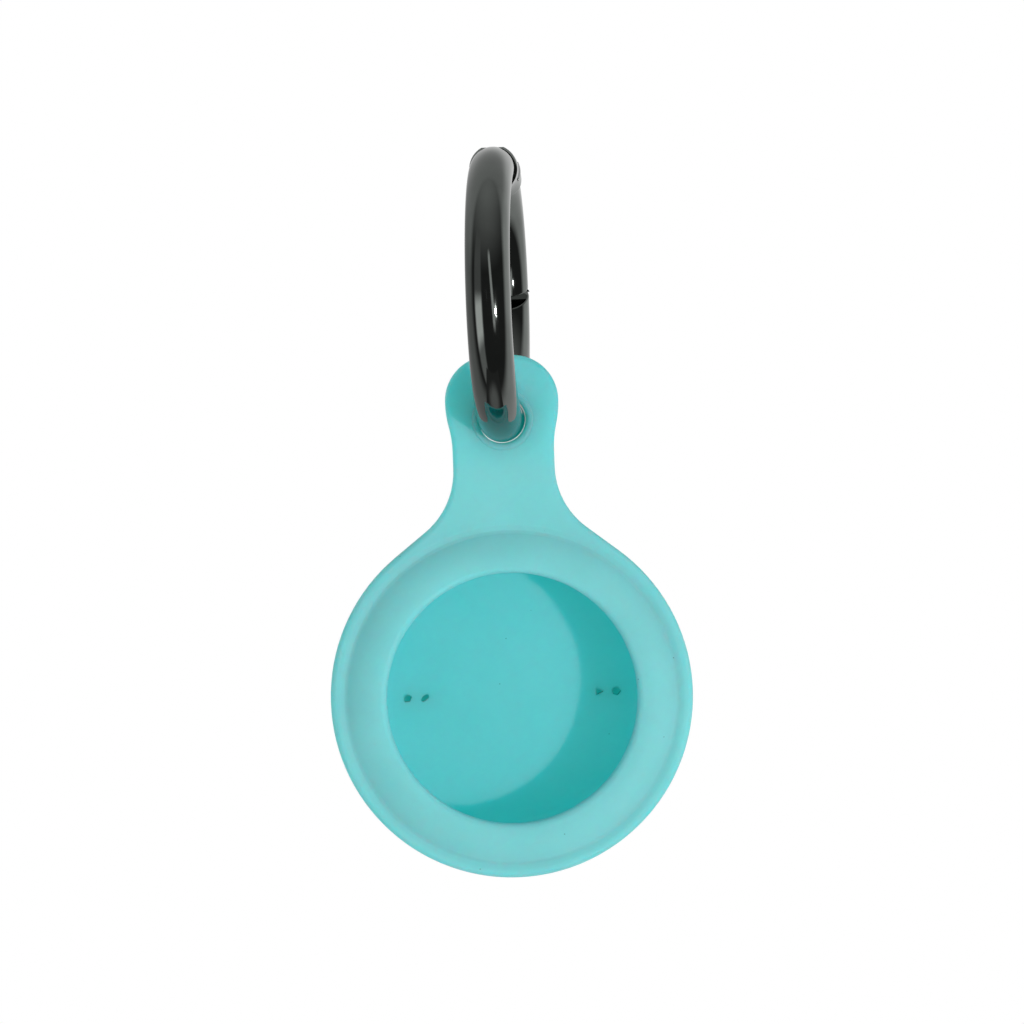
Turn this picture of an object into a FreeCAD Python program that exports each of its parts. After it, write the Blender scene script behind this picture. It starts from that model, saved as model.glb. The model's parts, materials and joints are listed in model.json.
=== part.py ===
import FreeCAD, Part
import math
import os

# A silicone holder for a coin-shaped tracker tag, hung on a round spring-gate ring.
# Millimetres. The origin is the centre of the ring's loop. +Z is up, and the pocket's mouth faces -Y.

V = FreeCAD.Vector
CENTRE = V(0, 0, 0)
AXIS_X = V(1, 0, 0)
AXIS_Y = V(0, 1, 0)
AXIS_Z = V(0, 0, 1)
NEAR = 1e-4

# Tag that the pocket takes, and the room round it
TAG_D = 31.9
TAG_T = 8.0
TAG_ROOM_R = 0.15
TAG_ROOM_T = 0.1
TAG_FRONT_EDGE_R = 1.6
TAG_BACK_EDGE_R = 2.2

# Cup, lip and domed front of the pouch
BACK_WALL = 1.5
CUP_WALL = 1.5
CUP_EDGE_R = 3.2
CUP_FOOT_R = 0.8
LIP_REACH = 2.23
LIP_T = 1.3
LIP_FRONT_R = 0.85
LIP_BACK_R = 0.25
CREST_FROM_MOUTH = 1.15
DOME_R = 5.01
FOOT_OUT = 2.25
FOOT_EDGE_R = 0.45

# Plate: the flange round the pocket, dished towards the dome's foot, with the tab that hangs it
PLATE_T = 2.8
PLATE_EDGE_R = 0.55
FLANGE_W = 1.71
FLANGE_RISE = 0.1
DISH_DEPTH = 0.18
DISH_W = 0.8
DISH_EDGE_R = 1.0
SHOULDER_DEG = 52.0
NECK_FILLET_R = 8.65
NECK_W = 11.2
NECK_BELOW_HOLE = 3.36
HEAD_W = 12.5
HEAD_CORNER_R = 5.0
HEAD_SIDE = 5.1
HEAD_ABOVE_HOLE = 7.08
HOLE_ABOVE_DISC = 10.75
HOLE_ROOM = 0.18
HOLE_LIFT = 0.1
HOLE_EDGE_R = 0.5
RIM_W = 0.77
RIM_H = 0.3
RIM_EDGE_R = 0.25

# Blind marks of the mould's pins in the pocket's floor, two on each side in one row
PIN_MARK_X = 10.73
PIN_MARK_PITCH = 1.98
PIN_MARK_OFF_X = 0.24
PIN_MARK_OFF_Z = -0.18
PIN_MARK_L = 1.05
PIN_MARK_WALL = 0.5
PIN_MARK_FORMS = ((5, 0.85, 18), (10, 0.55, 38), (3, 0.8, 0), (5, 0.9, 0))

# Ring: a round wire, turned a little from the pouch's own front
LOOP_D = 22.9
WIRE_D = 4.9
RING_YAW_DEG = -6.2

# Gate, from its hinge near the top down the far side, in degrees up from +Y
GATE_INSET = 0.06
PIVOT_DEG = 78.0
FREE_END_DEG = 1.0
GATE_SLANT_DEG = 20.0
NOSE_SLANT_DEG = 42.0
SEAT_SLANT_DEG = 30.0
FREE_END_GAP = 0.62
FREE_END_EDGE_R = 0.15
GATE_LOWEST_DEG = -30.0

# Thicker block of the ring that carries the hinge, flattened on its inner and outer side
BLOCK_SWELL = 0.22
BLOCK_RISE = -0.08
BLOCK_END_DEG = 91.0

# Fork at the hinge: cheeks, slot, the gate's tongue, its stop and the heel that the spring pushes
CHEEK_PAST_WIRE = 0.55
CHEEK_EDGE_R = 0.2
CHEEK_GAP = 0.28
TONGUE_T = 1.7
SLOT_SIDE_ROOM = 0.1
STOP_FLAT = 0.225
STOP_GAP = 0.03
HEEL_WALL = 0.615

# Hinge pin, riveted over at both ends
PIN_D = 1.3
PIN_ROOM = 0.035
RIVET_LEDGE = 0.4
RIVET_PROUD = 0.12
SPOT_ROOM = 0.05

# Gate spring, in a blind bore of the ring
SPRING_WIRE_D = 0.25
SPRING_D = 1.5
SPRING_PITCH = 0.68
SPRING_TURNS = 6
SPRING_INWARD = 1.1
SPRING_BORE_ROOM = 0.12
SPRING_END_GAP = 0.03
POINTS_PER_QUARTER = 12

# Sizes that follow from the ones above
POCKET_R = TAG_D / 2 + TAG_ROOM_R
POCKET_H = TAG_T + TAG_ROOM_T
MOUTH_R = POCKET_R - LIP_REACH
CUP_R = POCKET_R + CUP_WALL
CREST_R = MOUTH_R + CREST_FROM_MOUTH
FOOT_R = POCKET_R + FOOT_OUT
DISC_R = FOOT_R + FLANGE_W
PLATE_FRONT = -PLATE_T / 2
PLATE_BACK = PLATE_T / 2
FOOT_Y = PLATE_FRONT + DISH_DEPTH
DOME_Y = FOOT_Y + math.sqrt(DOME_R ** 2 - (FOOT_R - CREST_R) ** 2)
CREST_Y = DOME_Y - DOME_R
ROOF_Y = CREST_Y + LIP_T
FLOOR_Y = ROOF_Y + POCKET_H
BACK_Y = FLOOR_Y + BACK_WALL
WIRE_R = WIRE_D / 2
RING_R = LOOP_D / 2 + WIRE_R
GATE_WIRE_R = WIRE_R - GATE_INSET
BLOCK_R = WIRE_R + BLOCK_SWELL
HOLE_R = WIRE_R + HOLE_ROOM
RIM_R = HOLE_R + RIM_W
RIM_Y = PLATE_FRONT - RIM_H
HOLE_Z = HOLE_LIFT - RING_R
HOLE_FROM_DISC = DISC_R + HOLE_ABOVE_DISC
DISC_Z = HOLE_Z - HOLE_FROM_DISC
CHEEK_R = WIRE_R + CHEEK_PAST_WIRE
SLOT_HALF = TONGUE_T / 2 + SLOT_SIDE_ROOM
TONGUE_END_R = WIRE_R
TONGUE_BACK = TONGUE_END_R - STOP_FLAT
PIN_R = PIN_D / 2
HEEL_BACK = PIN_R + PIN_ROOM + HEEL_WALL
RIVET_R = PIN_R + RIVET_LEDGE
SPOT_R = RIVET_R + SPOT_ROOM
SPOT_X = math.sqrt(BLOCK_R ** 2 - SPOT_R ** 2)
SPRING_R = (SPRING_D - SPRING_WIRE_D) / 2
SPRING_LENGTH = SPRING_TURNS * SPRING_PITCH + SPRING_WIRE_D
SPRING_BORE_R = SPRING_D / 2 + SPRING_BORE_ROOM
REACH = 3 * RING_R

# Rounds stay inside the walls that carry them
PLATE_ROUND = min(PLATE_EDGE_R, 0.48 * PLATE_T)
FLANGE_FLAT = FLANGE_W - FLANGE_RISE - PLATE_ROUND
DISH_SPAN = min(DISH_W, 0.8 * FLANGE_FLAT)
DISH_R = FOOT_R + DISH_SPAN
DISH_ROUND = min(DISH_EDGE_R, 1.5 * DISH_SPAN)
FOOT_ROUND = min(FOOT_EDGE_R, 0.6 * DISH_SPAN)
CUP_FOOT_ROUND = min(CUP_FOOT_R, 0.8 * (FLANGE_FLAT + FOOT_R - CUP_R))
CUP_ROUND = min(CUP_EDGE_R, 0.9 * (BACK_Y - PLATE_BACK - CUP_FOOT_ROUND))
LIP_FRONT_ROUND = min(LIP_FRONT_R, 0.55 * LIP_T)
LIP_BACK_ROUND = min(LIP_BACK_R, 0.25 * LIP_T)
RIM_ROUND = min(RIM_EDGE_R, 0.35 * RIM_W, 0.9 * RIM_H)
HOLE_ROUND = min(HOLE_EDGE_R, 0.75 * RIM_W - RIM_ROUND / 2)


def line(a, b):
    return Part.LineSegment(a, b).toShape()


def arc(a, b, c):
    return Part.Arc(a, b, c).toShape()


def cylinder(radius, start, way):
    """A round bar from a point along a vector."""
    return Part.makeCylinder(radius, way.Length, start, way)


def round_edges(solid, radius, wanted):
    """Rounds the edges that a test picks."""
    return solid.makeFillet(radius, [e for e in solid.Edges if wanted(e)])


def circle_at(radius, y):
    """A test for the edges on a circle about a Y axis, with this radius and height."""
    def test(edge):
        curve = edge.Curve
        is_round = isinstance(curve, Part.Circle)
        return is_round and abs(curve.Radius - radius) < NEAR and abs(curve.Center.y - y) < NEAR

    return test


# Pouch

def dome_y(radius):
    """Height of the domed front at a distance from the pocket's axis."""
    return DOME_Y - math.sqrt(DOME_R ** 2 - (radius - CREST_R) ** 2)


def on_plate(x, z):
    """A point on the plate's front face, z measured up from the pocket's axis."""
    return V(x, PLATE_FRONT, DISC_Z + z)


def plate_outline():
    """Outline of flange and tab: both sides from the tab's top down to the disc, and the disc's arc."""
    top = HOLE_FROM_DISC + HEAD_ABOVE_HOLE
    head, neck = HEAD_W / 2, NECK_W / 2
    side_low = top - HEAD_SIDE
    neck_high = HOLE_FROM_DISC - NECK_BELOW_HOLE
    drop = side_low - neck_high
    bend = 2 * math.atan2(head - neck, drop)
    bend_r = drop / 2 / math.sin(bend)
    across, along = bend_r * (1 - math.cos(bend / 2)), bend_r * math.sin(bend / 2)
    lean = math.radians(SHOULDER_DEG)
    fillet_x = neck + NECK_FILLET_R
    fillet_z = FLANGE_RISE + (DISC_R + NECK_FILLET_R - math.cos(lean) * fillet_x) / math.sin(lean)
    shoulder_x, shoulder_z = DISC_R * math.cos(lean), FLANGE_RISE + DISC_R * math.sin(lean)
    bottom = on_plate(0, FLANGE_RISE - DISC_R)
    corner_x, corner_z = head - HEAD_CORNER_R, top - HEAD_CORNER_R
    diagonal = HEAD_CORNER_R * math.sqrt(0.5)

    def side(sign):
        def p(x, z):
            return on_plate(sign * x, z)

        def fillet(turn):
            return p(fillet_x - NECK_FILLET_R * math.cos(turn), fillet_z - NECK_FILLET_R * math.sin(turn))

        middle = p((head + neck) / 2, (side_low + neck_high) / 2)
        return [
            arc(p(corner_x, top), p(corner_x + diagonal, corner_z + diagonal), p(head, corner_z)),
            line(p(head, corner_z), p(head, side_low)),
            arc(p(head, side_low), p(head - across, side_low - along), middle),
            arc(middle, p(neck + across, neck_high + along), p(neck, neck_high)),
            line(p(neck, neck_high), fillet(0)),
            arc(fillet(0), fillet(lean / 2), fillet(lean)),
            line(fillet(lean), p(shoulder_x, shoulder_z)),
        ]

    disc = arc(on_plate(shoulder_x, shoulder_z), bottom, on_plate(-shoulder_x, shoulder_z))
    crown = line(on_plate(corner_x, top), on_plate(-corner_x, top))
    return Part.Wire(Part.__sortEdges__(side(1) + [disc] + side(-1) + [crown]))


def plate():
    """Flange and tab in one plate with rounded edges, and the dish round the dome's foot."""
    solid = Part.Face(plate_outline()).extrude(AXIS_Y * PLATE_T)

    def on_a_face(edge):
        return any(all(abs(v.Y - y) < NEAR for v in edge.Vertexes) for y in (PLATE_FRONT, PLATE_BACK))

    solid = round_edges(solid, PLATE_ROUND, on_a_face)
    dish = Part.makeCone(FOOT_R, DISH_R + DISH_SPAN, 2 * DISH_DEPTH, V(0, FOOT_Y, DISC_Z), -AXIS_Y)
    return round_edges(solid.cut(dish), DISH_ROUND, circle_at(DISH_R, PLATE_FRONT))


def pocket_body():
    """Domed front, down to its foot in the flange's dish, and the cup behind, still without the pocket."""
    inner_r = MOUTH_R - LIP_T
    front, dome_end = V(0, dome_y(inner_r), 0), V(inner_r, dome_y(inner_r), 0)
    crest, foot, inside = V(CREST_R, CREST_Y, 0), V(FOOT_R, FOOT_Y, 0), V(FOOT_R, 0, 0)
    cup_top, cup_corner, back = V(CUP_R, 0, 0), V(CUP_R, BACK_Y, 0), V(0, BACK_Y, 0)
    profile = [
        line(front, dome_end), arc(dome_end, crest, foot), line(foot, inside), line(inside, cup_top),
        line(cup_top, cup_corner), line(cup_corner, back), line(back, front),
    ]
    solid = Part.Face(Part.Wire(profile)).revolve(CENTRE, AXIS_Y, 360)
    solid = round_edges(solid, CUP_ROUND, circle_at(CUP_R, BACK_Y))
    solid.translate(V(0, 0, DISC_Z))
    return solid


def pocket():
    """The space for the tag: a disc with rounded rims."""
    solid = cylinder(POCKET_R, V(0, ROOF_Y, DISC_Z), AXIS_Y * POCKET_H)
    solid = round_edges(solid, TAG_FRONT_EDGE_R, circle_at(POCKET_R, ROOF_Y))
    return round_edges(solid, TAG_BACK_EDGE_R, circle_at(POCKET_R, FLOOR_Y))


def hollowed(solid):
    """Cuts the pocket and its mouth, and rounds the lip."""
    mouth = cylinder(MOUTH_R, V(0, CREST_Y - LIP_T, DISC_Z), AXIS_Y * (FLOOR_Y - CREST_Y))
    solid = solid.cut(pocket()).cut(mouth)
    solid = round_edges(solid, LIP_FRONT_ROUND, circle_at(MOUTH_R, dome_y(MOUTH_R)))
    return round_edges(solid, LIP_BACK_ROUND, circle_at(MOUTH_R, ROOF_Y))


def with_hanging_hole(solid):
    """Adds the raised rim on both faces of the tab, and the hole that the ring goes through."""
    start, way = V(0, RIM_Y, HOLE_Z), AXIS_Y * (-2 * RIM_Y)
    rim = round_edges(cylinder(RIM_R, start, way), RIM_ROUND, lambda e: isinstance(e.Curve, Part.Circle))
    solid = solid.fuse(rim).cut(cylinder(HOLE_R, start, way))
    solid = round_edges(solid, HOLE_ROUND, circle_at(HOLE_R, RIM_Y))
    return round_edges(solid, HOLE_ROUND, circle_at(HOLE_R, -RIM_Y))


def pin_marks():
    """Cutters for the blind marks, by number of sides, width against length, and turn."""
    cutters = []
    for k, (sides, slimness, degrees) in enumerate(PIN_MARK_FORMS):
        x = PIN_MARK_OFF_X + (-1, 1)[k // 2] * PIN_MARK_X + (-0.5, 0.5)[k % 2] * PIN_MARK_PITCH
        z = DISC_Z + PIN_MARK_OFF_Z
        half, lean = PIN_MARK_L / 2, math.radians(degrees)
        points = []
        for n in range(sides + 1):
            turn = 2 * math.pi * n / sides
            u, w = half * math.cos(turn), half * slimness * math.sin(turn)
            across, up = u * math.cos(lean) - w * math.sin(lean), u * math.sin(lean) + w * math.cos(lean)
            points.append(V(x + across, FLOOR_Y - BACK_WALL, z + up))
        cutters.append(Part.Face(Part.makePolygon(points)).extrude(AXIS_Y * (2 * BACK_WALL - PIN_MARK_WALL)))
    return cutters


def pouch():
    """The whole moulding: plate, domed front, cup, pocket, mouth, hanging hole and pin marks."""
    solid = plate().fuse(pocket_body())
    solid = round_edges(solid, FOOT_ROUND, circle_at(FOOT_R, FOOT_Y))
    solid = round_edges(solid, CUP_FOOT_ROUND, circle_at(CUP_R, PLATE_BACK))
    return with_hanging_hole(hollowed(solid)).cut(pin_marks()).removeSplitter()


# Ring and gate, drawn in the ring's own plane before it is turned

def ring_point(degrees, radius=RING_R):
    """A point in the ring's plane, by its angle up from the far side."""
    turn = math.radians(degrees)
    return V(0, radius * math.cos(turn), radius * math.sin(turn))


def ring_axes(degrees):
    """Directions along the wire, towards the gate's free end, and inwards, at an angle on the ring."""
    turn = math.radians(degrees)
    return V(0, math.sin(turn), -math.cos(turn)), V(0, -math.cos(turn), -math.sin(turn))


PIVOT = ring_point(PIVOT_DEG)
ALONG, INWARD = ring_axes(PIVOT_DEG)


def at_pivot(along, inward, across=0.0):
    """A point from the hinge's pivot: along the wire, inwards, and along the pin."""
    return PIVOT + ALONG * along + INWARD * inward + AXIS_X * across


def about_pivot(radius):
    """A bar on the hinge's axis, longer than the ring is wide."""
    return cylinder(radius, PIVOT - AXIS_X * REACH, AXIS_X * 2 * REACH)


def prism(points, half_width):
    """A flat shape in the ring's plane, thickened to both sides."""
    wire = Part.makePolygon([p - AXIS_X * half_width for p in points + points[:1]])
    return Part.Face(wire).extrude(AXIS_X * 2 * half_width)


def pivot_block(back, front, half_width):
    """A block over the whole wire, between two distances along it from the pivot."""
    corners = [(back, -WIRE_D), (back, WIRE_D), (front, WIRE_D), (front, -WIRE_D)]
    return prism([at_pivot(*c) for c in corners], half_width)


def wire_ring(radius):
    return Part.makeTorus(RING_R, radius, CENTRE, AXIS_X)


def free_end(shift, degrees):
    """A slanted plane at the gate's free end: a point on it, its normal, and its line across the wire."""
    along, inward = ring_axes(FREE_END_DEG)
    slant = math.radians(degrees)
    normal = along * math.cos(slant) - inward * math.sin(slant)
    edge = inward * math.cos(slant) + along * math.sin(slant)
    return ring_point(FREE_END_DEG) + normal * shift, normal, edge


def gate_end(degrees):
    """A plane of the gate's end, through the same line across the middle of the wire for each slant."""
    _, normal, edge = free_end(0, degrees)
    start, _, _ = free_end(-FREE_END_GAP / 2, GATE_SLANT_DEG)
    return start, normal, edge


GATE_END, NOSE = gate_end(GATE_SLANT_DEG), gate_end(NOSE_SLANT_DEG)
SEAT = free_end(FREE_END_GAP / 2, SEAT_SLANT_DEG)


def gate_side(plane):
    """The space from the pivot down to a slanted plane at the gate's free end."""
    start, normal, edge = plane
    middle = (PIVOT_DEG + GATE_LOWEST_DEG) / 2
    sector = [CENTRE] + [ring_point(d, REACH) for d in (GATE_LOWEST_DEG, middle, PIVOT_DEG)]
    low, high = start + edge * REACH, start - edge * REACH
    return prism(sector, REACH).common(prism([low, high, high - normal * REACH, low - normal * REACH], REACH))


def round_free_end(solid, planes):
    """Rounds the rims of the slanted end faces."""
    def on_end(edge):
        points = edge.discretize(5)
        return any(all(abs((p - start).dot(normal)) < NEAR for p in points) for start, normal, _ in planes)

    return round_edges(solid, FREE_END_EDGE_R, on_end)


def round_cheeks(solid, radius):
    """Rounds the rim of the end that is turned about the pivot."""
    def on_end(edge):
        offsets = [p - PIVOT for p in edge.discretize(5)]
        return all(abs(math.hypot(o.y, o.z) - radius) < NEAR for o in offsets)

    return round_edges(solid, CHEEK_EDGE_R, on_end)


def hinge_block():
    """A thicker piece of the ring, from a step behind the hinge to past the cheeks."""
    sector = [CENTRE] + [ring_point(d, REACH) for d in (FREE_END_DEG, PIVOT_DEG, BLOCK_END_DEG)]
    rise = WIRE_R + BLOCK_RISE
    start, way = AXIS_X * -REACH, AXIS_X * 2 * REACH
    band = cylinder(RING_R + rise, start, way).cut(cylinder(RING_R - rise, start, way))
    return wire_ring(BLOCK_R).common(prism(sector, REACH)).common(band)


def ring_body():
    """The C-shaped ring: a fork with two cheeks at the hinge, and a slanted end at the gate's tip."""
    solid = wire_ring(WIRE_R).fuse(hinge_block())
    solid = solid.cut(gate_side(SEAT).cut(about_pivot(CHEEK_R)))
    solid = round_cheeks(round_free_end(solid, [SEAT]), CHEEK_R)
    slot = pivot_block(-TONGUE_BACK - STOP_GAP, CHEEK_R + WIRE_D, SLOT_HALF)
    bore_depth = SPRING_LENGTH + 2 * SPRING_END_GAP
    bore = cylinder(SPRING_BORE_R, at_pivot(-HEEL_BACK, SPRING_INWARD), ALONG * -bore_depth)
    solid = solid.cut([slot, bore, about_pivot(PIN_R)])
    spots = [cylinder(SPOT_R, PIVOT + AXIS_X * side * SPOT_X, AXIS_X * side * WIRE_D) for side in (-1, 1)]
    return solid.cut(spots)


def tongue():
    """The gate's flat tongue in the fork: round end, flat stop at its back, and heel for the spring."""
    behind = [
        (-TONGUE_BACK, -WIRE_D), (-TONGUE_BACK, 0), (-HEEL_BACK, 0),
        (-HEEL_BACK, WIRE_D), (0, WIRE_D), (0, -WIRE_D),
    ]
    half = TONGUE_T / 2
    back = prism([at_pivot(*c) for c in behind], half).common(about_pivot(TONGUE_END_R))
    return pivot_block(0, CHEEK_R + WIRE_R, half).fuse(back)


def gate():
    """The curved gate: round wire hollowed to clear the cheeks, with tongue, pin bore and bevelled nose."""
    space = gate_side(GATE_END).common(gate_side(NOSE))
    space = space.cut(about_pivot(CHEEK_R + CHEEK_GAP)).fuse(tongue())
    solid = round_free_end(wire_ring(GATE_WIRE_R).common(space), [GATE_END, NOSE])
    return solid.cut(about_pivot(PIN_R + PIN_ROOM))


def hinge_pin():
    """A rivet through the fork, with a domed head in each spot face."""
    end, edge = BLOCK_R + RIVET_PROUD, SPOT_X + RIVET_PROUD
    sag = end - edge
    dome_r = (RIVET_R ** 2 + sag ** 2) / (2 * sag)
    half_turn = math.asin(RIVET_R / dome_r) / 2
    middle = V(end - dome_r + dome_r * math.cos(half_turn), dome_r * math.sin(half_turn), 0)
    corners = [CENTRE, V(0, PIN_R, 0), V(SPOT_X, PIN_R, 0), V(SPOT_X, RIVET_R, 0), V(edge, RIVET_R, 0)]
    tip = V(end, 0, 0)
    profile = [line(a, b) for a, b in zip(corners, corners[1:])]
    profile += [arc(corners[-1], middle, tip), line(tip, CENTRE)]
    half = Part.Face(Part.Wire(profile)).revolve(CENTRE, AXIS_X, 360)
    solid = half.fuse(half.mirror(CENTRE, AXIS_X)).removeSplitter()
    solid.translate(PIVOT)
    return solid


def tangent_arc(start, way, end):
    """The arc that leaves a point in a direction and reaches another point."""
    chord = end - start
    ahead = chord * (1 / chord.Length)
    side = way - ahead * way.dot(ahead)
    height = chord.Length / 2 * math.tan(math.acos(way.dot(ahead)) / 2)
    return arc(start, start + chord * 0.5 + side * (height / side.Length), end)


def biarc(start, start_way, end, end_way):
    """Two tangent arcs from one point and direction to another."""
    span, ways = end - start, start_way + end_way
    bend = 2 * (1 - start_way.dot(end_way))
    reach = (math.sqrt(span.dot(ways) ** 2 + bend * span.dot(span)) - span.dot(ways)) / bend
    joint = (start + end + (start_way - end_way) * reach) * 0.5
    return [tangent_arc(start, start_way, joint), tangent_arc(end, end_way * -1, joint)]


def gate_spring():
    """A coil spring between the ring's bore and the gate's heel, wound in quarter turns."""
    first = -HEEL_BACK - SPRING_END_GAP - SPRING_WIRE_D / 2
    fall = SPRING_PITCH / (2 * math.pi)
    quarters = 4 * SPRING_TURNS

    def coil(turn):
        inward, across = SPRING_R * math.cos(turn), SPRING_R * math.sin(turn)
        return at_pivot(first - fall * turn, SPRING_INWARD + inward, across)

    def way(turn):
        step = ALONG * -fall + (AXIS_X * math.cos(turn) - INWARD * math.sin(turn)) * SPRING_R
        return step * (1 / step.Length)

    edges = []
    for k in range(quarters):
        a, b = k * math.pi / 2, (k + 1) * math.pi / 2
        edges += biarc(coil(a), way(a), coil(b), way(b))
    path = Part.Wire(Part.__sortEdges__(edges))
    section = Part.Wire(Part.Circle(coil(0), way(0), SPRING_WIRE_D / 2).toShape())
    solid = path.makePipeShell([section], True, False)
    swept = math.pi * SPRING_WIRE_D ** 2 / 4 * path.Length
    points = path.discretize(quarters * POINTS_PER_QUARTER)
    half_turn = 2 * POINTS_PER_QUARTER
    nearest = min((p - q).Length for k, p in enumerate(points) for q in points[k + half_turn:])
    print("spring: volume over section times length", round(solid.Volume / swept, 4))
    print("spring: least gap to itself", round(nearest - SPRING_WIRE_D, 3))
    return solid


def on_ring(solid):
    """Turns a piece of the ring to where the ring hangs."""
    solid.rotate(CENTRE, AXIS_Z, RING_YAW_DEG)
    return solid


NODES = {
    "pouch": pouch(),
    "ring_body": on_ring(ring_body()),
    "gate": on_ring(gate()),
    "hinge_pin": on_ring(hinge_pin()),
    "gate_spring": on_ring(gate_spring()),
}

os.makedirs("parts", exist_ok=True)
for name, solid in NODES.items():
    solid.exportStep("parts/" + name + ".step")
    print(name, "valid" if solid.isValid() else "not valid", round(solid.Volume, 2), "mm3")
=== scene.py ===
"""A turquoise silicone tag holder on a dark spring-gate ring, hanging before a white background."""

import json
import math

import bpy
from mathutils import Matrix, Vector

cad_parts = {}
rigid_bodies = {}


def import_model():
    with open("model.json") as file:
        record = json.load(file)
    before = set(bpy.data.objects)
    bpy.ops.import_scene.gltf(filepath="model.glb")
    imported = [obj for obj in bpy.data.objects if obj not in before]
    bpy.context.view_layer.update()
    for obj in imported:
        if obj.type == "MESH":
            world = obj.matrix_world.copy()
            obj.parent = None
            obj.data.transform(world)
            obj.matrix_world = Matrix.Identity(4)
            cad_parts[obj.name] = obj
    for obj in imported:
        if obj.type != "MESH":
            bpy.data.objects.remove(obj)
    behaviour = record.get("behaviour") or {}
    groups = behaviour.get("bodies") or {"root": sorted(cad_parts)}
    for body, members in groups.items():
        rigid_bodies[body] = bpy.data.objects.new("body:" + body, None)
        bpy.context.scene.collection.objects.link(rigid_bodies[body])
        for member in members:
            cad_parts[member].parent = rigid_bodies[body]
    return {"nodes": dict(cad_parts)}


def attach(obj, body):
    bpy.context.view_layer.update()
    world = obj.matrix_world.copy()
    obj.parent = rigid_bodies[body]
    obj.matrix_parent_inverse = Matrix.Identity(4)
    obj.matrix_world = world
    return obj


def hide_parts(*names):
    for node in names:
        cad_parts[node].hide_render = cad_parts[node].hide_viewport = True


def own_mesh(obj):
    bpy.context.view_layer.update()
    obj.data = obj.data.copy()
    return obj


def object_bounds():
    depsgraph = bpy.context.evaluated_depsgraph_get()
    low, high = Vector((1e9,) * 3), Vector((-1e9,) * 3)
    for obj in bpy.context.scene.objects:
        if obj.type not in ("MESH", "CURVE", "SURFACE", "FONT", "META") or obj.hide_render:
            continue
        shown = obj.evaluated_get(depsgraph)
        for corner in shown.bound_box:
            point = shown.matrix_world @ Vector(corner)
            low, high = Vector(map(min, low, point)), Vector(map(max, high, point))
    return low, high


# Photograph: pixels of its square frame, and its scale at the pouch
IMAGE_PX = 1024
PX_PER_M = 9030.0

# Camera, in metres and degrees
CAMERA_AZIMUTH = -1.9
CAMERA_ELEVATION = 1.8
CAMERA_ROLL = -2.0
CAMERA_DISTANCE = 0.65
CAMERA_TARGET = (0.00073, 0.0, -0.0241)
CAMERA_CLIP = (0.01, 20.0)
SENSOR_MM = 36.0

# Key lamp, in degrees, metres and watts
KEY_AZIMUTH = 34.0
KEY_ELEVATION = -10.0
KEY_DISTANCE = 1.2
KEY_DIAMETER = 0.06
KEY_POWER = 8.3

# Room: its plain fill of light, what the metal mirrors of it, and how much its front lights
ROOM_FILL = 0.32
DARK_ROOM = 0.055
FRONT_SHARE = 0.8

# Wall behind, by direction: mirrored brightness from low to high on each side, and light it gives
WALL_LEFT = (0.38, 0.55)
WALL_LEFT_Z = (0.1, 0.45)
WALL_RIGHT = (0.75, 0.9, 0.52)
WALL_RIGHT_LOW_Z = (-0.2, 0.0)
WALL_RIGHT_HIGH_Z = (0.3, 0.65)
WALL_MIDDLE_X = (-0.6, 0.6)
WALL_MIRRORED_Y = (-0.2, 0.3)
WALL_LIGHT = (0.7, 0.25)
WALL_LIGHT_Y = (0.0, 0.17)

# Ceiling, and the panel, strip and spot in front: brightness, limits and soft edges in degrees
CEILING = 0.48
CEILING_POWER = 1.7
PANEL = (0.42, 1.6, 0.2)
PANEL_AZIMUTH = (-74.0, -38.0)
PANEL_LOW_ELEVATION = (-38.0, -24.0)
PANEL_HIGH_ELEVATION = (-8.0, 4.0)
PANEL_SOFT = 6.0
STRIP = 1.0
STRIP_AZIMUTH = (13.0, 24.0)
STRIP_ELEVATION = (-24.0, 33.0)
STRIP_SLANT = 0.35
STRIP_SIDE_SOFT = 3.0
STRIP_END_SOFT = 5.0
SPOT = 0.8
SPOT_AZIMUTH = (-14.0, -7.0)
SPOT_ELEVATION = (-4.0, 3.5)
SPOT_SOFT = 2.0

# Floor, in metres, with its brightness in the metal from its middle outwards
FLOOR_DROP = 0.8
FLOOR_SIZE = 0.9
FLOOR_COLOUR = (0.8, 0.8, 0.8, 1)
FLOOR_ROUGHNESS = 0.9
FLOOR_MIRRORED = (0.38, 0.08)
FLOOR_FADE = (0.1, 0.36)
FLOOR_WHITE = 0.85

# Silicone: its colours by place, with painted shade in the pocket and in the pin marks and painted
# light on the tab's head, and how far light travels in it, in metres
SILICONE_COLOUR = (0.24, 0.66, 0.685)
# painted shade: the pocket's colour is darker and less red, standing in for the shade inside it
POCKET_PAINTED_SHADE = (0.15, 0.575, 0.635)
# painted light: the tab's head is lighter and more saturated, standing in for how it is lit and
# shaded by the ring
HEAD_PAINTED_LIGHT = (0.195, 0.71, 0.73)
# painted shade: near-black turquoise in the pin marks, standing in for the shade in the pits
PIT_PAINTED_SHADE = (0.005, 0.06, 0.055)
SILICONE_REACH = 0.003
POCKET_REACH = 0.016
TAB_REACH = 0.011
SILICONE_REACH_BY_COLOUR = (0.008, 1.0, 0.8)
SILICONE_ROUGHNESS = 0.55
POCKET_ROUGHNESS = 0.45
SILICONE_SHINE = 0.2
SILICONE_IOR = 1.43

# Metals: colour, colour where an edge is worn, and roughness
PLATING = ((0.153, 0.166, 0.157), (0.2, 0.21, 0.203), 0.06)
RIVET = ((0.17, 0.175, 0.176), (0.24, 0.24, 0.24), 0.12)
SPRING_WIRE = ((0.5, 0.5, 0.51), (0.55, 0.55, 0.56), 0.22)

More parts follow.
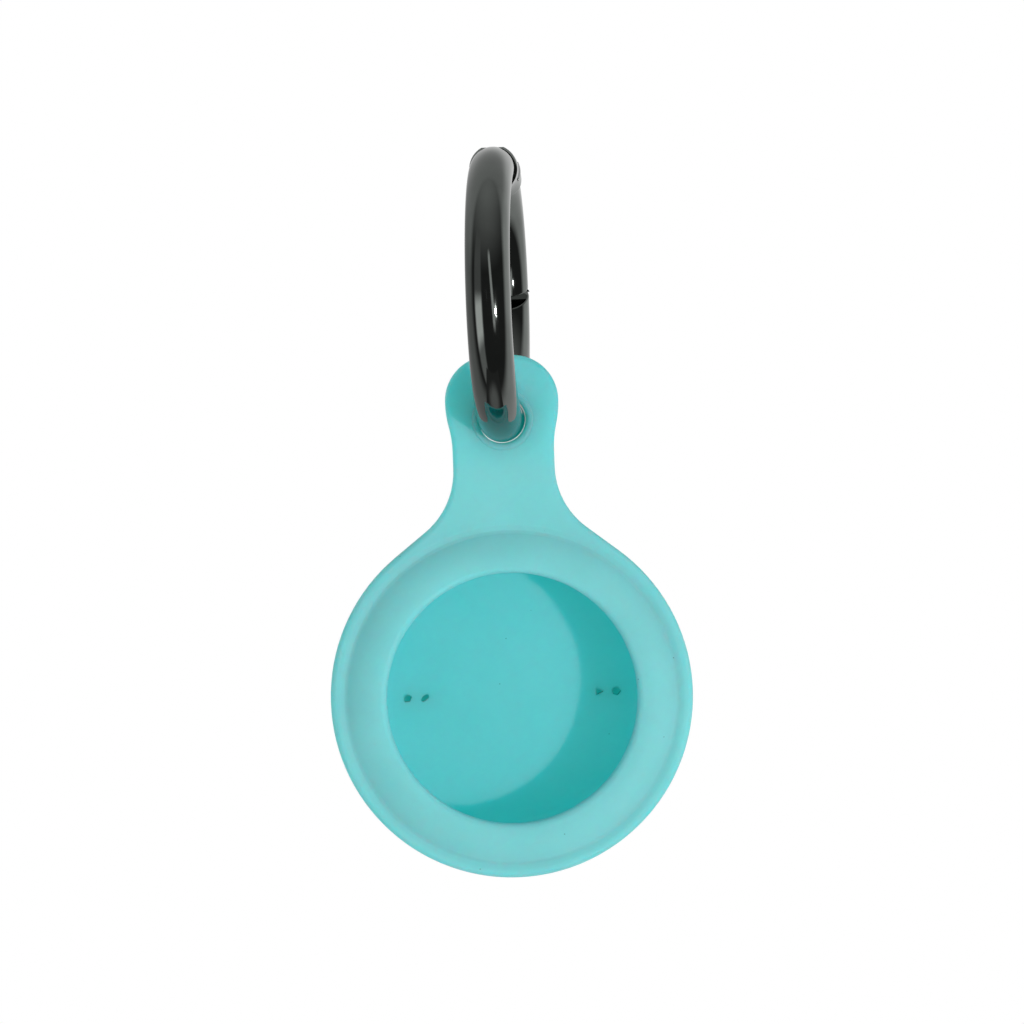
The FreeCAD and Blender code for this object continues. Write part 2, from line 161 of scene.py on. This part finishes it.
# Places on the pouch, in metres: the pocket's axis, and where one look goes over into the next,
# such as the painted shade of the pocket and of the pin marks and the painted light of the tab's
# head
POCKET_Z = -0.04461
POCKET_EDGE = (0.0158, 0.0164)
MOUTH_Y = (-0.0023, -0.0011)
BACK_Y = (0.0074, 0.0081)
MARK_Y = (0.00698, 0.0071)
MARK_EDGE = (0.0128, 0.0132)
TAB_Z = (-0.028, -0.022)
HEAD_Z = (-0.0205, -0.0155)

# Fine relief and variation of the surfaces: sizes and depths in metres, and limits of the noise
CLOUD_DETAIL = 4.0
MOTTLE_SIZE = 0.006
MOTTLE_EDGE = (0.25, 0.75)
MOTTLE = 0.02
DUST_SPACING = 0.0026
DUST_EDGE = (0.018, 0.034)
DUST = 0.7
DUST_COLOUR = (0.03, 0.16, 0.16)
GRAIN_SIZE = 0.00012
GRAIN_DEPTH = 0.000004
CLOUD_SIZE = 0.003
CLOUD_EDGE = (0.3, 0.7)
CLOUD_GLOSS = (0.75, 1.25)
CLOUDS = 0.05
RIPPLE_SIZE = 0.002
RIPPLE_DEPTH = 0.000004
SCRATCH_WIDTH = 0.00008
SCRATCH_LENGTH = 0.002
SCRATCH_TURN = (0.5, 0.3, 0.0)
SCRATCH_EDGE = (0.64, 0.72)
SCRATCH_DULL = 2.0
WORN_EDGE = (0.53, 0.62)

# Sockets for colours on a Mix node, whose names are shared with those for numbers
MIX_COLOURS_IN = (6, 7)
MIX_COLOUR_OUT = 2


def new_material(name):
    """An empty node material, with its node tree and its Principled shader."""
    material = bpy.data.materials.new(name)
    material.use_nodes = True
    tree = material.node_tree
    return material, tree, tree.nodes["Principled BSDF"]


def calculate(tree, operation, *inputs):
    """A math node on numbers or sockets."""
    node = tree.nodes.new("ShaderNodeMath")
    node.operation = operation
    for socket, value in zip(node.inputs, inputs):
        if isinstance(value, (int, float)):
            socket.default_value = value
        else:
            tree.links.new(value, socket)
    return node.outputs[0]


def ramp(tree, value, low, high, start=0.0, end=1.0):
    """A smooth step from one number to another while a value goes from low to high."""
    node = tree.nodes.new("ShaderNodeMapRange")
    node.interpolation_type = "SMOOTHSTEP"
    tree.links.new(value, node.inputs["Value"])
    numbers = {"From Min": low, "From Max": high, "To Min": start, "To Max": end}
    for name, number in numbers.items():
        node.inputs[name].default_value = number
    return node.outputs["Result"]


def blend(tree, factor, first, second):
    """A colour between two, each a fixed colour or a socket."""
    node = tree.nodes.new("ShaderNodeMix")
    node.data_type = "RGBA"
    tree.links.new(factor, node.inputs["Factor"])
    for index, value in zip(MIX_COLOURS_IN, (first, second)):
        socket = node.inputs[index]
        if isinstance(value, tuple):
            socket.default_value = (*value, 1)
        else:
            tree.links.new(value, socket)
    return node.outputs[MIX_COLOUR_OUT]


def choose(tree, factor, first, second):
    """A number between two, each a fixed number or a socket."""
    node = tree.nodes.new("ShaderNodeMix")
    tree.links.new(factor, node.inputs["Factor"])
    for name, value in (("A", first), ("B", second)):
        if isinstance(value, float):
            node.inputs[name].default_value = value
        else:
            tree.links.new(value, node.inputs[name])
    return node.outputs[0]


def band(tree, value, limits, soft):
    """1 inside two limits in degrees, falling off softly at both."""
    low, high = limits
    rise = ramp(tree, value, low - soft, low + soft)
    fall = ramp(tree, value, high - soft, high + soft, 1.0, 0.0)
    return calculate(tree, "MULTIPLY", rise, fall)


def noise(tree, place, size, detail=2.0):
    """A noise from 0 to 1 with clouds of a size in metres."""
    node = tree.nodes.new("ShaderNodeTexNoise")
    tree.links.new(place, node.inputs["Vector"])
    node.inputs["Scale"].default_value = 1 / size
    node.inputs["Detail"].default_value = detail
    return node.outputs["Fac"]


def split(tree, place):
    """The X, Y and Z of a place."""
    node = tree.nodes.new("ShaderNodeSeparateXYZ")
    tree.links.new(place, node.inputs[0])
    return tuple(node.outputs)


def relief(tree, shader, place, size, depth):
    """Fine bumps of a size and a depth in metres."""
    node = tree.nodes.new("ShaderNodeBump")
    node.inputs["Distance"].default_value = depth
    tree.links.new(noise(tree, place, size), node.inputs["Height"])
    tree.links.new(node.outputs[0], shader.inputs["Normal"])


def silicone():
    """Satin turquoise silicone, smoother in the pocket, with a mottle, dust and a moulded grain,
    and with painted shade in the pocket and the pin marks and painted light on the tab's head.
    """
    material, tree, shader = new_material("silicone")
    place = tree.nodes.new("ShaderNodeTexCoord").outputs["Object"]
    x, y, z = split(tree, place)

    # Shares of the pocket and of the pin marks in its floor, which get painted shade
    up = calculate(tree, "SUBTRACT", z, POCKET_Z)
    up_squared = calculate(tree, "MULTIPLY", up, up)
    from_axis = calculate(tree, "SQRT", calculate(tree, "MULTIPLY_ADD", x, x, up_squared))
    before_back = ramp(tree, y, *BACK_Y, 1.0, 0.0)
    within = calculate(tree, "MULTIPLY", ramp(tree, y, *MOUTH_Y), before_back)
    in_pocket = ramp(tree, from_axis, *POCKET_EDGE, 1.0, 0.0)
    pocket = calculate(tree, "MULTIPLY", within, in_pocket)
    in_marks = ramp(tree, from_axis, *MARK_EDGE, 1.0, 0.0)
    painted_pit_shade = calculate(tree, "MULTIPLY", ramp(tree, y, *MARK_Y), in_marks)
    painted_pit_shade = calculate(tree, "MULTIPLY", painted_pit_shade, within)

    # Colour, with painted light on the tab's head and painted shade in the pocket and the pin marks
    # painted light: a lighter, more saturated colour on the tab's head
    outside = blend(tree, ramp(tree, z, *HEAD_Z), SILICONE_COLOUR, HEAD_PAINTED_LIGHT)
    # painted shade: a darker, less red colour inside the pocket
    colour = blend(tree, pocket, outside, POCKET_PAINTED_SHADE)
    clouds = noise(tree, place, MOTTLE_SIZE, CLOUD_DETAIL)
    mottle = ramp(tree, clouds, *MOTTLE_EDGE, 1 - MOTTLE, 1 + MOTTLE)
    tint = tree.nodes.new("ShaderNodeVectorMath")
    tint.operation = "SCALE"
    tree.links.new(colour, tint.inputs[0])
    tree.links.new(mottle, tint.inputs["Scale"])
    dust = tree.nodes.new("ShaderNodeTexVoronoi")
    dust.inputs["Scale"].default_value = 1 / DUST_SPACING
    tree.links.new(place, dust.inputs["Vector"])
    specks = ramp(tree, dust.outputs["Distance"], *DUST_EDGE, DUST, 0.0)
    dusty = blend(tree, specks, tint.outputs[0], DUST_COLOUR)
    # painted shade: the pin marks are filled with near-black turquoise
    tree.links.new(blend(tree, painted_pit_shade, dusty, PIT_PAINTED_SHADE), shader.inputs["Base Color"])

    # Gloss and grain
    rough = ramp(tree, pocket, 0.0, 1.0, SILICONE_ROUGHNESS, POCKET_ROUGHNESS)
    rough = calculate(tree, "MULTIPLY", rough, mottle)
    tree.links.new(rough, shader.inputs["Roughness"])
    relief(tree, shader, place, GRAIN_SIZE, GRAIN_DEPTH)
    shader.inputs["IOR"].default_value = SILICONE_IOR
    shader.inputs["Specular IOR Level"].default_value = SILICONE_SHINE

    # Light that travels in it
    reach = ramp(tree, z, *TAB_Z, SILICONE_REACH, TAB_REACH)
    reach = calculate(tree, "MULTIPLY_ADD", pocket, POCKET_REACH - SILICONE_REACH, reach)
    tree.links.new(reach, shader.inputs["Subsurface Scale"])
    # the pin marks get no light travel, so their painted shade stays dark
    unmarked = calculate(tree, "SUBTRACT", 1.0, painted_pit_shade)
    tree.links.new(unmarked, shader.inputs["Subsurface Weight"])
    shader.inputs["Subsurface Radius"].default_value = SILICONE_REACH_BY_COLOUR
    return material


def metal(name, colour, worn_colour, roughness):
    """Metal with a cloudy gloss, a faint ripple, fine scratches and worn edges."""
    material, tree, shader = new_material(name)
    shader.inputs["Metallic"].default_value = 1.0
    place = tree.nodes.new("ShaderNodeTexCoord").outputs["Object"]

    # Colour
    clouds = ramp(tree, noise(tree, place, CLOUD_SIZE, CLOUD_DETAIL), *CLOUD_EDGE)
    shades = [tuple(c * share for c in colour) for share in (1 - CLOUDS, 1 + CLOUDS)]
    geometry = tree.nodes.new("ShaderNodeNewGeometry")
    worn = ramp(tree, geometry.outputs["Pointiness"], *WORN_EDGE)
    cloudy = blend(tree, clouds, *shades)
    tree.links.new(blend(tree, worn, cloudy, worn_colour), shader.inputs["Base Color"])

    # Gloss, scratches and ripple
    stretch = tree.nodes.new("ShaderNodeMapping")
    stretch.inputs["Rotation"].default_value = SCRATCH_TURN
    stretch.inputs["Scale"].default_value = (1.0, 1.0, SCRATCH_WIDTH / SCRATCH_LENGTH)
    tree.links.new(place, stretch.inputs["Vector"])
    scratches = ramp(tree, noise(tree, stretch.outputs[0], SCRATCH_WIDTH), *SCRATCH_EDGE)
    rubbed = calculate(tree, "MAXIMUM", scratches, worn)
    dull = ramp(tree, rubbed, 0.0, 1.0, 1.0, SCRATCH_DULL)
    gloss = ramp(tree, clouds, 0.0, 1.0, *(share * roughness for share in CLOUD_GLOSS))
    tree.links.new(calculate(tree, "MULTIPLY", gloss, dull), shader.inputs["Roughness"])
    relief(tree, shader, place, RIPPLE_SIZE, RIPPLE_DEPTH)
    return material


def dress(piece, material):
    """Gives a piece its material."""
    piece.data.materials.clear()
    piece.data.materials.append(material)


def spring_coil(material):
    """The gate's spring, which in the real ring shortens in its bore while the gate opens; here its
    mesh is copied and fixed to the ring's body, and the CAD spring is hidden.
    """
    made = bpy.data.objects.new("spring_coil", frame["nodes"]["gate_spring"].data.copy())
    bpy.context.scene.collection.objects.link(made)
    dress(made, material)
    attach(made, "ring")
    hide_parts("gate_spring")
    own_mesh(made)


def direction(azimuth, elevation):
    """A unit vector: azimuth 0 points at the camera's side, and 90 to the right."""
    turn, rise = math.radians(azimuth), math.radians(elevation)
    flat = math.cos(rise)
    return Vector((math.sin(turn) * flat, -math.cos(turn) * flat, math.sin(rise)))


def camera():
    """The photograph's view: a long lens, turned a little round its own axis."""
    back = direction(CAMERA_AZIMUTH, CAMERA_ELEVATION)
    data = bpy.data.cameras.new("camera")
    data.sensor_width = SENSOR_MM
    data.lens = PX_PER_M * CAMERA_DISTANCE / IMAGE_PX * SENSOR_MM
    data.clip_start, data.clip_end = CAMERA_CLIP
    made = bpy.data.objects.new("camera", data)
    place = Matrix.Translation(Vector(CAMERA_TARGET) + back * CAMERA_DISTANCE)
    turn = (-back).to_track_quat("-Z", "Y").to_matrix().to_4x4()
    roll = Matrix.Rotation(math.radians(CAMERA_ROLL), 4, "Z")
    made.matrix_world = place @ turn @ roll
    bpy.context.scene.collection.objects.link(made)
    bpy.context.scene.camera = made


def key_light():
    """A small lamp on the right, in front of the object and a little below it."""
    way = direction(KEY_AZIMUTH, KEY_ELEVATION)
    data = bpy.data.lights.new("key", "AREA")
    data.shape, data.size, data.energy = "DISK", KEY_DIAMETER, KEY_POWER
    made = bpy.data.objects.new("key", data)
    made.location = Vector(CAMERA_TARGET) + way * KEY_DISTANCE
    made.rotation_mode = "QUATERNION"
    made.rotation_quaternion = (-way).to_track_quat("-Z", "Y")
    bpy.context.scene.collection.objects.link(made)


def wall_behind(tree, mirrored, x, y, z):
    """The pale wall: its light on the object, or its brightness in the metal."""
    low, middle, high = WALL_RIGHT
    left = ramp(tree, z, *WALL_LEFT_Z, *WALL_LEFT)
    right = calculate(
        tree, "ADD",
        ramp(tree, z, *WALL_RIGHT_LOW_Z, low, middle),
        ramp(tree, z, *WALL_RIGHT_HIGH_Z, 0.0, high - middle))
    seen = choose(tree, ramp(tree, x, *WALL_MIDDLE_X), left, right)
    seen = calculate(tree, "MULTIPLY", ramp(tree, y, *WALL_MIRRORED_Y), seen)
    lit = calculate(
        tree, "MULTIPLY",
        ramp(tree, y, *WALL_LIGHT_Y),
        ramp(tree, x, *WALL_MIDDLE_X, *WALL_LIGHT))
    return choose(tree, mirrored, lit, seen)


def front_lights(tree, azimuth, elevation):
    """A panel on the left, and a slanted strip and a small spot in front."""
    low, middle, high = PANEL
    panel = calculate(
        tree, "ADD",
        ramp(tree, elevation, *PANEL_LOW_ELEVATION, low, middle),
        ramp(tree, elevation, *PANEL_HIGH_ELEVATION, 0.0, high - middle))
    panel = calculate(tree, "MULTIPLY", band(tree, azimuth, PANEL_AZIMUTH, PANEL_SOFT), panel)
    slanted = calculate(tree, "MULTIPLY_ADD", elevation, STRIP_SLANT, azimuth)
    strip = calculate(
        tree, "MULTIPLY",
        band(tree, slanted, STRIP_AZIMUTH, STRIP_SIDE_SOFT),
        band(tree, elevation, STRIP_ELEVATION, STRIP_END_SOFT))
    spot = calculate(
        tree, "MULTIPLY",
        band(tree, azimuth, SPOT_AZIMUTH, SPOT_SOFT),
        band(tree, elevation, SPOT_ELEVATION, SPOT_SOFT))
    both = calculate(tree, "MULTIPLY_ADD", spot, SPOT, panel)
    return calculate(tree, "MULTIPLY_ADD", strip, STRIP, both)


def studio():
    """A soft plain room that lights the object, darker where the metal mirrors it, white behind."""
    world = bpy.data.worlds.new("studio")
    bpy.context.scene.world = world
    world.use_nodes = True
    tree = world.node_tree
    surface = tree.nodes["Background"]
    surface.inputs["Color"].default_value = (1, 1, 1, 1)
    x, y, z = split(tree, tree.nodes.new("ShaderNodeTexCoord").outputs["Generated"])
    to_front = calculate(tree, "MULTIPLY", y, -1.0)
    azimuth = calculate(tree, "DEGREES", calculate(tree, "ARCTAN2", x, to_front))
    elevation = calculate(tree, "DEGREES", calculate(tree, "ARCSINE", z))
    paths = tree.nodes.new("ShaderNodeLightPath")
    mirrored = paths.outputs["Is Glossy Ray"]
    wall = wall_behind(tree, mirrored, x, y, z)
    height = calculate(tree, "MAXIMUM", z, 0.0)
    ceiling = calculate(tree, "POWER", height, CEILING_POWER)
    ceiling = calculate(tree, "MULTIPLY", ceiling, CEILING)
    share = choose(tree, mirrored, FRONT_SHARE, 1.0)
    room = choose(tree, mirrored, ROOM_FILL, DARK_ROOM)
    front = front_lights(tree, azimuth, elevation)
    front = calculate(tree, "MULTIPLY_ADD", front, share, room)
    light = calculate(tree, "MAXIMUM", calculate(tree, "MAXIMUM", wall, ceiling), front)
    seen = calculate(tree, "MAXIMUM", light, paths.outputs["Is Camera Ray"])
    tree.links.new(seen, surface.inputs["Strength"])


def floor():
    """A pale floor far below the hanging object, white to the camera and dimmer in the metal."""
    low, _ = cad_box
    bpy.ops.mesh.primitive_plane_add(size=FLOOR_SIZE, location=(0, 0, low.z - FLOOR_DROP))
    made = bpy.context.object
    made.name = "floor"
    material, tree, shader = new_material("floor")
    shader.inputs["Base Color"].default_value = FLOOR_COLOUR
    shader.inputs["Roughness"].default_value = FLOOR_ROUGHNESS
    away = tree.nodes.new("ShaderNodeVectorMath")
    away.operation = "LENGTH"
    tree.links.new(tree.nodes.new("ShaderNodeTexCoord").outputs["Object"], away.inputs[0])
    paths = tree.nodes.new("ShaderNodeLightPath")
    mirrored, seen = paths.outputs["Is Glossy Ray"], paths.outputs["Is Camera Ray"]
    glow = tree.nodes.new("ShaderNodeEmission")
    dim = ramp(tree, away.outputs["Value"], *FLOOR_FADE, *FLOOR_MIRRORED)
    tree.links.new(choose(tree, mirrored, 1.0, dim), glow.inputs["Strength"])
    mix = tree.nodes.new("ShaderNodeMixShader")
    white = calculate(tree, "MULTIPLY", seen, FLOOR_WHITE)
    tree.links.new(calculate(tree, "MAXIMUM", white, mirrored), mix.inputs[0])
    tree.links.new(shader.outputs[0], mix.inputs[1])
    tree.links.new(glow.outputs[0], mix.inputs[2])
    tree.links.new(mix.outputs[0], tree.nodes["Material Output"].inputs["Surface"])
    made.data.materials.append(material)


for leftover in list(bpy.data.objects):
    bpy.data.objects.remove(leftover)
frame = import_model()
cad_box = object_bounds()
bpy.context.scene.view_settings.view_transform = "Standard"

plating = metal("dark_plating", *PLATING)
dress(frame["nodes"]["pouch"], silicone())
dress(frame["nodes"]["ring_body"], plating)
dress(frame["nodes"]["gate"], plating)
dress(frame["nodes"]["hinge_pin"], metal("rivet", *RIVET))
spring_coil(metal("spring_wire", *SPRING_WIRE))
camera()
key_light()
studio()
floor()
